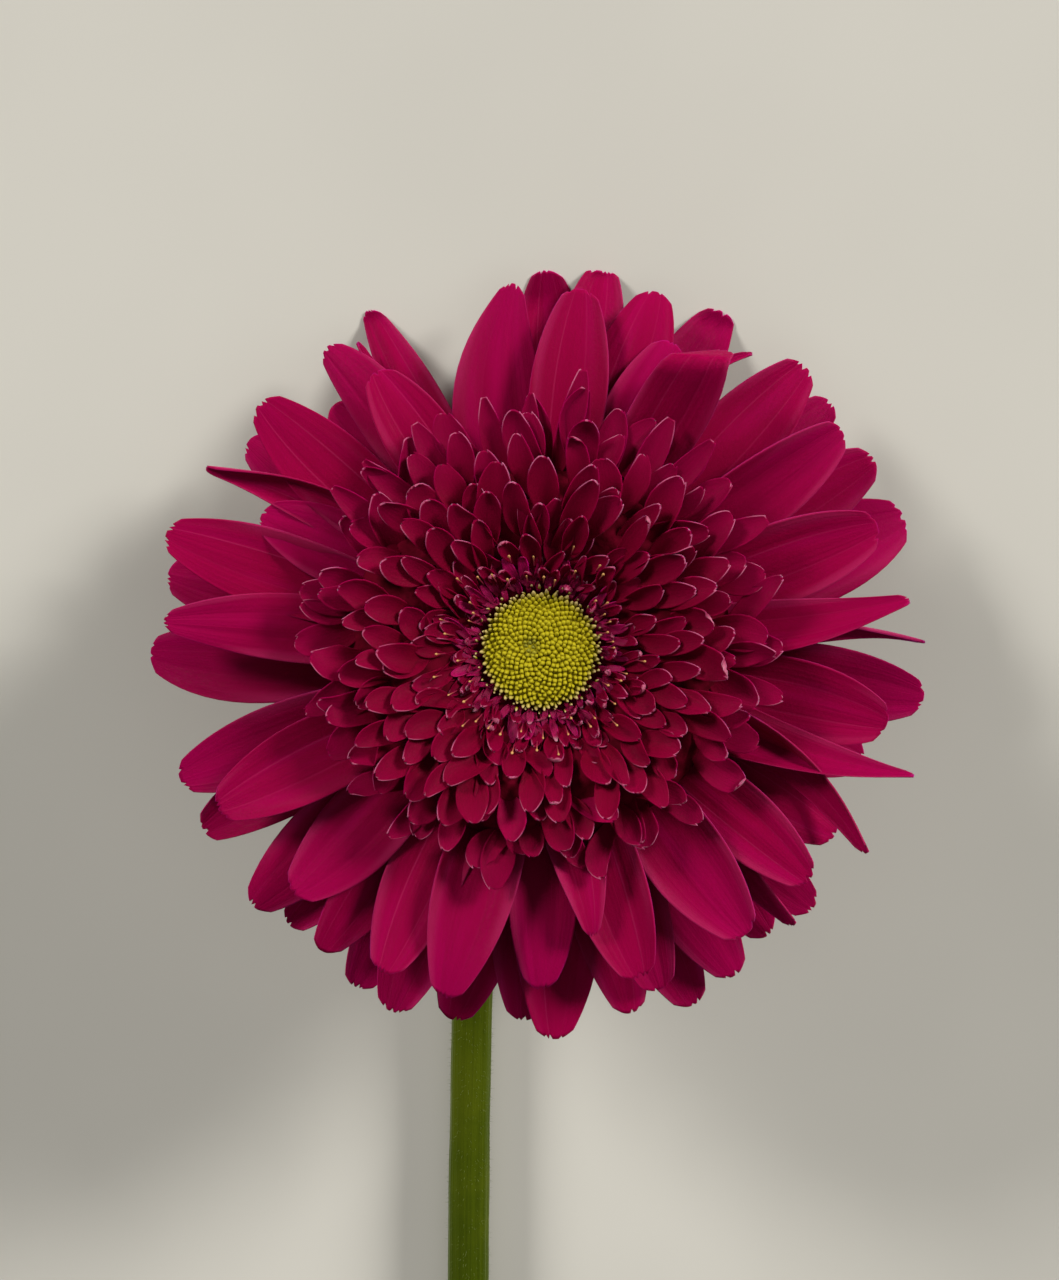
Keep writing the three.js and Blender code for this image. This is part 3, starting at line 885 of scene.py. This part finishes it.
def ring_material():
    g = Graph("ring_straps", 0.5, 0.06, sheen=0.02, sheen_tint=(1, 0.5, 0.6), sheen_roughness=0.3)
    along = g.attribute("along")
    tone = g.attribute("tone")
    face = g.ramp(along, [(0.15, (0.09, 0.0002, 0.013)), (0.85, (0.22, 0.001, 0.047))])
    face = g.mix(g.spread(tone, 0.3, 1, 0, 0.5), face, (0.17, 0.0005, 0.025))
    pale = g.math("MULTIPLY", g.spread(along, 0.78, 0.98), g.spread(tone, 0.35, 0.9))
    face = g.mix(g.math("MULTIPLY", pale, 0.65), face, (0.55, 0.28, 0.33))
    g.colour(g.mix(g.attribute("under"), face, (0.42, 0.1, 0.17)))
    g.glow(0.5, 1.0)
    g.bump((lengthwise(g, 5.0, 2.0), 0.08))
    return g.material


def disc_material():
    g = Graph("disc_buds", 0.65, 0.08)
    tip = g.attribute("along")
    tone = g.attribute("tone")
    # Darker towards each bud's foot: partly the buds' own colour, partly painted shade in the gaps between
    # them.
    bud = g.ramp(tip, [(0.3, (0.25, 0.195, 0.002)), (0.7, (0.27, 0.22, 0.003)), (1.0, (0.3, 0.25, 0.007))])
    bud = g.mix(g.spread(tone, 0, 1, 0, 0.4), bud, (0.25, 0.215, 0.004))
    pale = g.math("MULTIPLY", g.spread(g.attribute("reach"), 0.86, 1.05, 0, 0.9), g.spread(tip, 0.3, 0.9))
    bud = g.mix(pale, bud, (0.38, 0.27, 0.14))
    green = g.spread(g.attribute("dimple"), 0.2, 1.0)
    g.colour(g.mix(g.math("MULTIPLY", green, 0.75), bud, (0.11, 0.11, 0.02)))
    g.bump((g.noise(g.place(), 5200, 2), 0.03))
    return g.material


def style_material():
    g = Graph("styles", 0.5, 0.4)
    g.colour(g.ramp(g.attribute("along"), [(0.35, (0.2, 0.006, 0.03)), (0.75, (0.4, 0.2, 0.06))]))
    g.bump((g.noise(g.place(), 6000, 2), 0.03))
    return g.material


def core_material():
    g = Graph("core", 0.8, 0.02)
    patches = g.noise(g.place(), 420, 3)
    # Painted shade: the core is coloured very dark red, since it shows only in the deep gaps between the
    # petals.
    g.colour(g.mix(g.spread(patches, 0.35, 0.65), (0.04, 0.0002, 0.003), (0.08, 0.0004, 0.007)))
    g.bump((patches, 0.4))
    return g.material


def bract_material():
    g = Graph("bracts", 0.62, 0.3, sheen=0.2, sheen_tint=(0.9, 1, 0.8), sheen_roughness=0.5)
    dark = (0.07, 0.11, 0.015)
    patches = g.noise(g.place(), 130, 4)
    veins = lengthwise(g, 9.0, 1.6)
    skin = g.mix(g.spread(patches, 0.35, 0.68), (0.15, 0.2, 0.035), dark)
    skin = g.mix(g.spread(veins, 0.45, 0.7, 0, 0.4), skin, dark)
    g.colour(g.mix(g.spread(g.attribute("along"), 0.75, 1.0, 0, 0.75), skin, (0.1, 0.03, 0.02)))
    g.bump((veins, 0.2), (g.noise(g.place(), 2600, 2), 0.05))
    return g.material


def stem_material():
    g = Graph("stem_skin", 0.6, 0.04, sheen=0.6, sheen_tint=(0.9, 1, 0.6), sheen_roughness=0.25)
    streaks = lengthwise(g, 26.0, 7.0)
    patches = g.noise(g.place(), 70, 4)
    skin = g.mix(g.spread(streaks, 0.35, 0.68), (0.043, 0.061, 0.0008), (0.033, 0.048, 0.0005))
    skin = g.mix(g.spread(patches, 0.4, 0.7, 0, 0.4), skin, (0.085, 0.1, 0.003))
    neck = g.spread(g.attribute("along"), 0.0, 0.12, 0.5, 0)
    skin = g.mix(neck, skin, (0.075, 0.11, 0.006))
    pith = g.attribute("pith")
    cut = g.ramp(pith, [(0.0, (0.5, 0.55, 0.3)), (0.72, (0.42, 0.5, 0.2)), (0.95, (0.12, 0.2, 0.03))])
    g.colour(g.mix(g.attribute("cut"), skin, cut))
    g.bump((streaks, 0.16), (g.noise(g.place(), 2200, 2), 0.05))
    return g.material


def hair_material():
    g = Graph("hairs", 0.45, 0.4)
    g.colour(g.mix(g.attribute("tone"), (0.17, 0.2, 0.06), (0.09, 0.12, 0.014)))
    return g.material


# ---- pieces ----


def make_ray_petals():
    random = np.random.default_rng(SEEDS["rays"])
    build = Build()
    for index, row in enumerate(RAY_PETALS):
        petal = ray_petal(row, index, random)
        add_petal(build, petal, RAY_STATIONS, RAY_SIDES, RAY_THICKNESS, random.random(), on_surface=True)
    build.piece("ray_florets", ray_material(), "ray_petal", "ray_petals")


def make_crest_petals():
    random = np.random.default_rng(SEEDS["crest"])
    build = Build()
    add_rows(build, CREST_ROWS, crest_petal, CREST_GRID, random)
    for row in LONG_CREST_PETALS:
        petal = long_crest_petal(row, random)
        add_petal(build, petal, *CREST_GRID, random.random())
    build.piece("crest_florets", crest_material(), "crest_petal", "crest_petals")


def make_ring_petals():
    random = np.random.default_rng(SEEDS["ring"])
    build = Build()
    add_rows(build, RING_ROWS, ring_petal, RING_GRID, random)
    build.piece("ring_florets", ring_material(), "crest_petal")


def make_core():
    build = Build()
    for profile in (CREST_CORE, RAY_DISH):
        build.add(*revolved(profile))
    build.piece("bloom_core", core_material(), "crest_petal")


def bud_form(sides):
    """A small bud of unit radius and height, closed at its tip: points, quads and each point's height."""
    share = np.append(np.linspace(0, 1, BUD_RINGS + 1), 1)
    radius = np.cos(share * math.pi / 2 * 0.93) ** 0.6
    radius[-1] = TINY_RADIUS
    points, quads = rings_round(radius, share, sides)
    return points, quads, points[:, 2]


def stand(points, place, direction, width, height, turn):
    """A unit form turned to stand along a direction at a place."""
    direction = unit(direction)
    side = unit(np.cross(direction, [math.cos(turn), math.sin(turn), 0.01]))
    other = np.cross(direction, side)
    flat = points[:, :1] * side + points[:, 1:2] * other
    return place + flat * width + points[:, 2:] * direction * height


def disc_height(x, y):
    """How high the disc is at a place, and how deep in the dimple that is, from 0 to 1."""
    radius = np.hypot(x, y)
    from_dimple = np.hypot(x - DIMPLE_PLACE[0], y - DIMPLE_PLACE[1])
    dimple = math.exp(-((from_dimple / DIMPLE_RADIUS) ** 2))
    return mixed(DISC_TOP, DISC_RIM, (radius / DISC_RADIUS) ** 2) - DIMPLE_DEPTH * dimple, dimple


def make_disc():
    random = np.random.default_rng(SEEDS["disc"])
    build = Build()
    points, quads = revolved(DISC_DOME, steps=4)
    build.add(points, quads, along=0.1, tone=0.5, reach=0.5, dimple=0)
    form, form_quads, tips = bud_form(sides=7)
    for i in range(BUD_COUNT):
        share = math.sqrt((i + 0.5) / BUD_COUNT)
        turn = i * GOLDEN_ANGLE
        x = DISC_RADIUS * share * math.cos(turn) + random.normal(0, 0.06)
        y = DISC_RADIUS * share * math.sin(turn) + random.normal(0, 0.06)
        height, dimple = disc_height(x, y)
        slimmer = (1 - 0.22 * dimple) * mixed(1, 0.72, share**6)
        width = BUD_RADIUS * slimmer * random.uniform(0.85, 1.1)
        tall = BUD_HEIGHT * mixed(1, 1.35, share**5) * random.uniform(0.88, 1.14)
        lean = np.array([x * 0.06, y * 0.06, 1]) + random.normal(0, 0.07, 3)
        place = np.array([x, y, height - BUD_SINK])
        bud = stand(form, place, lean, width, tall, random.uniform(0, 6))
        build.add(to_row(bud), form_quads, along=tips, tone=random.random(), reach=share, dimple=dimple)
    for i in range(RIM_BUDS):
        turn = (i + random.uniform(-0.35, 0.35)) / RIM_BUDS * 2 * math.pi
        out = random.uniform(*RIM_BUD_PLACES)
        place = np.array([out * math.cos(turn), out * math.sin(turn), RIM_BUD_FOOT])
        lean = place * [0.02, 0.02, 0] + UP + random.normal(0, 0.1, 3)
        bud = stand(form, place, lean, random.uniform(0.15, 0.24), random.uniform(1.0, 1.6), 0)
        build.add(to_row(bud), form_quads, along=tips, tone=random.random(), reach=1.1, dimple=0)
    build.piece("disc_buds", disc_material(), "disc", "disc")


def make_styles():
    """The styles: thin curved stalks with a yellow head."""
    random = np.random.default_rng(SEEDS["styles"])
    build = Build()
    form, form_quads, tips = bud_form(sides=8)
    for i in range(STYLE_COUNT):
        turn = (i + random.uniform(-0.4, 0.4)) / STYLE_COUNT * 2 * math.pi
        out = random.choice(STYLE_CIRCLES) + random.normal(0, 0.4)
        direction = np.array([math.cos(turn), math.sin(turn), 0])
        head = direction * out + UP * (random.uniform(*STYLE_HEIGHTS) + (out - STYLE_CIRCLES[0]) * 0.35)
        foot = direction * (out * 0.8 + 1.2) + UP * STYLE_FOOT
        middle = mixed(foot, head, 0.6) - direction * random.uniform(0, 0.4)
        curve = np.array([foot, mixed(foot, middle, 0.6), middle, mixed(middle, head, 0.6), head])
        points, quads, _ = tube(to_row(curve), np.full(len(curve), STYLE_RADIUS), STYLE_SIDES)
        share = np.append(np.repeat(np.linspace(0, 0.6, len(curve)), STYLE_SIDES), [0, 0.6])
        build.add(points, quads, along=share)
        ball = stand(form, head - UP * 0.15, head - middle, random.uniform(0.13, 0.22), 0.4, 0)
        build.add(to_row(ball), form_quads, along=mixed(0.7, 1.0, tips))
    build.piece("styles", style_material(), "disc")


def make_involucre():
    random = np.random.default_rng(SEEDS["bracts"])
    build = Build()
    points, quads = revolved(CUP_PROFILE)
    build.add(points, quads, under=0, tone=0.4, along=0.2, side=0, edge=1, from_axis=0)
    add_rows(build, BRACT_ROWS, bract, BRACT_GRID, random)
    build.piece("bracts", bract_material(), "bract", "involucre")


def bezier(points, count):
    """Points along a cubic curve through the first and last of four points."""
    a, b, c, d = points
    t = np.linspace(0, 1, count)[:, None]
    return a * (1 - t) ** 3 + 3 * b * t * (1 - t) ** 2 + 3 * c * t**2 * (1 - t) + d * t**3


def stem_line():
    """The stem's centre line, in even steps from the cup to the cut end."""
    under = np.array([BLOOM_PLACE[0], BLOOM_PLACE[1], 0])
    top = CUP_PROFILE[0][1] + STEM_SINK
    foot = to_row(np.array([0, 0, top]))
    below = to_row(np.array([0, 0, top - NECK_PULL]))
    before = mixed(LYING_START, LYING_MIDDLE, -BEND_PULL)
    before[2] = LYING_START[2]
    neck = bezier([foot, below, under + before, under + LYING_START], 60)
    lying = bezier([under + p for p in (LYING_START, LYING_MIDDLE, LYING_LATE, CUT_END)], 200)
    line = np.concatenate([neck, lying[1:]])
    run = np.concatenate([[0], np.cumsum(np.linalg.norm(np.diff(line, axis=0), axis=1))])
    even = np.linspace(0, run[-1], STEM_STEPS)
    return np.stack([np.interp(even, run, line[:, k]) for k in range(3)], axis=-1)


def cut_face(ring, middle):
    """The stem's cut face: its points, its quads, and how far out in the stem each point is."""
    out = np.array([0, -1, 0])
    rings = [ring * share + middle * (1 - share) for share in CUT_RINGS]
    domed = [points + out * CUT_DOME * k for k, points in enumerate(rings)]
    points = np.concatenate([rings[0] + out * CUT_LIP, *domed])
    grid = np.arange(len(points)).reshape(len(rings) + 1, len(ring))
    return points, grid_quads(grid, wrap=True), np.repeat([1, 1, 0.8, 0.5, 0.25, 0], len(ring))


def make_stem():
    share = np.linspace(0, 1, STEM_STEPS)
    radii = mixed(STEM_NECK_RADIUS, STEM_END_RADIUS, share**STEM_TAPER)
    radii = radii * (1 + 0.012 * np.sin(share * 37) + 0.008 * np.sin(share * 91 + 1))
    points, quads, rims = tube(stem_line(), radii, STEM_SIDES, STEM_RIBS, STEM_RIB_DEPTH)
    points[:, 2] = np.maximum(points[:, 2], SURFACE_GAP / 2)
    turn = np.tile(np.arange(STEM_SIDES) / STEM_SIDES, STEM_STEPS)
    side = np.append(np.abs(turn - 0.5) * 2, [0.5, 0.5])
    along = np.append(np.repeat(share, STEM_SIDES), [0, 1])
    build = Build()
    build.add(points, quads, along=along, side=side, tone=0.3, cut=0, pith=1)
    last_ring = points[(STEM_STEPS - 1) * STEM_SIDES : STEM_STEPS * STEM_SIDES]
    face, face_quads, levels = cut_face(last_ring, points[-1])
    build.add(face, face_quads, along=1, side=0, tone=0.3, cut=1, pith=levels)
    build.piece("flower_stem", stem_material(), "stem", "stem")
    make_hairs(points, rims)


def make_hairs(points, rims):
    """Fine hairs that stand out from the stem, each rooted between two of its rings."""
    random = np.random.default_rng(SEEDS["hairs"])
    build = Build()
    root = np.array([[1, 0, 0], [0, 1, 0], [-1, 0, 0], [0, -1, 0]])
    form = np.concatenate([root, root * HAIR_TIP + UP])
    walls = grid_quads(np.arange(8).reshape(2, 4), wrap=True)
    quads = np.concatenate([walls, [[3, 2, 1, 0], [4, 5, 6, 7]]])
    for index in random.integers(STEM_SIDES, (STEM_STEPS - 1) * STEM_SIDES, HAIR_COUNT):
        place = mixed(points[index], points[index + STEM_SIDES], random.random())
        if place[2] < HAIR_LOWEST:
            continue
        foot = place - rims[index] * HAIR_SINK
        lean = rims[index] + random.normal(0, 0.25, 3)
        hair = stand(form, foot, lean, HAIR_WIDTH, random.uniform(*HAIR_LENGTH), 0)
        hair[:, 2] = np.maximum(hair[:, 2], SURFACE_GAP)
        build.add(hair, quads, tone=random.random())
    build.piece("stem_hairs", hair_material(), "stem")


# ---- stage ----


def place_camera():
    data = bpy.data.cameras.new("camera")
    data.sensor_width = CAMERA_SENSOR
    data.lens = CAMERA_LENS
    data.clip_start = 0.01
    camera = bpy.data.objects.new("camera", data)
    camera.location = to_row(np.array([*CAMERA_AIM, CAMERA_DISTANCE])) * MM
    camera.rotation_euler = (-BLOOM_TILT, 0, 0)
    bpy.context.scene.collection.objects.link(camera)
    bpy.context.scene.camera = camera


def place_lights():
    for name, direction, strength, width in LIGHTS:
        data = bpy.data.lights.new(name, "SUN")
        data.energy = strength
        data.angle = math.radians(width)
        light = bpy.data.objects.new(name, data)
        heading = unit(np.array(direction)) @ BLOOM_AXES
        side = unit(np.cross([0, 1, 0], heading))
        turned = np.stack([side, np.cross(heading, side), heading], axis=1)
        light.rotation_euler = Matrix(turned.tolist()).to_euler()
        light.location = heading * 2
        bpy.context.scene.collection.objects.link(light)
    world = bpy.data.worlds.new("world")
    world.use_nodes = True
    background = world.node_tree.nodes["Background"]
    background.inputs["Color"].default_value = (*WORLD_COLOUR, 1)
    background.inputs["Strength"].default_value = WORLD_STRENGTH
    bpy.context.scene.world = world
    bpy.context.scene.view_settings.view_transform = "Standard"


def place_floor():
    mesh = bpy.data.meshes.new("floor")
    half = FLOOR_SIZE / 2
    corners = [(-half, -half, 0), (half, -half, 0), (half, half, 0), (-half, half, 0)]
    mesh.from_pydata(corners, [], [(0, 1, 2, 3)])
    g = Graph("floor_paint", 0.85, 0.15)
    patches = g.noise(g.place(), 9, 3)
    darker = tuple(0.94 * value for value in FLOOR_COLOUR)
    g.colour(g.mix(g.spread(patches, 0.3, 0.7), FLOOR_COLOUR, darker))
    mesh.materials.append(g.material)
    floor = bpy.data.objects.new("floor", mesh)
    bpy.context.scene.collection.objects.link(floor)


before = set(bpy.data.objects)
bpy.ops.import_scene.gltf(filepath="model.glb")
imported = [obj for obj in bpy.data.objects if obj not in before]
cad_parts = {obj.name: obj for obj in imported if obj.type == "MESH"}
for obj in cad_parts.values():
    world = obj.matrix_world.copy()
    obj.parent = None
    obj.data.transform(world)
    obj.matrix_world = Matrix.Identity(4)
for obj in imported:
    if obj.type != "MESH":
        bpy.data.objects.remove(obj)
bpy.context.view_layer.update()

place_camera()
place_lights()
place_floor()

make_core()
make_ray_petals()
make_crest_petals()
make_ring_petals()
make_disc()
make_styles()
make_involucre()
make_stem()
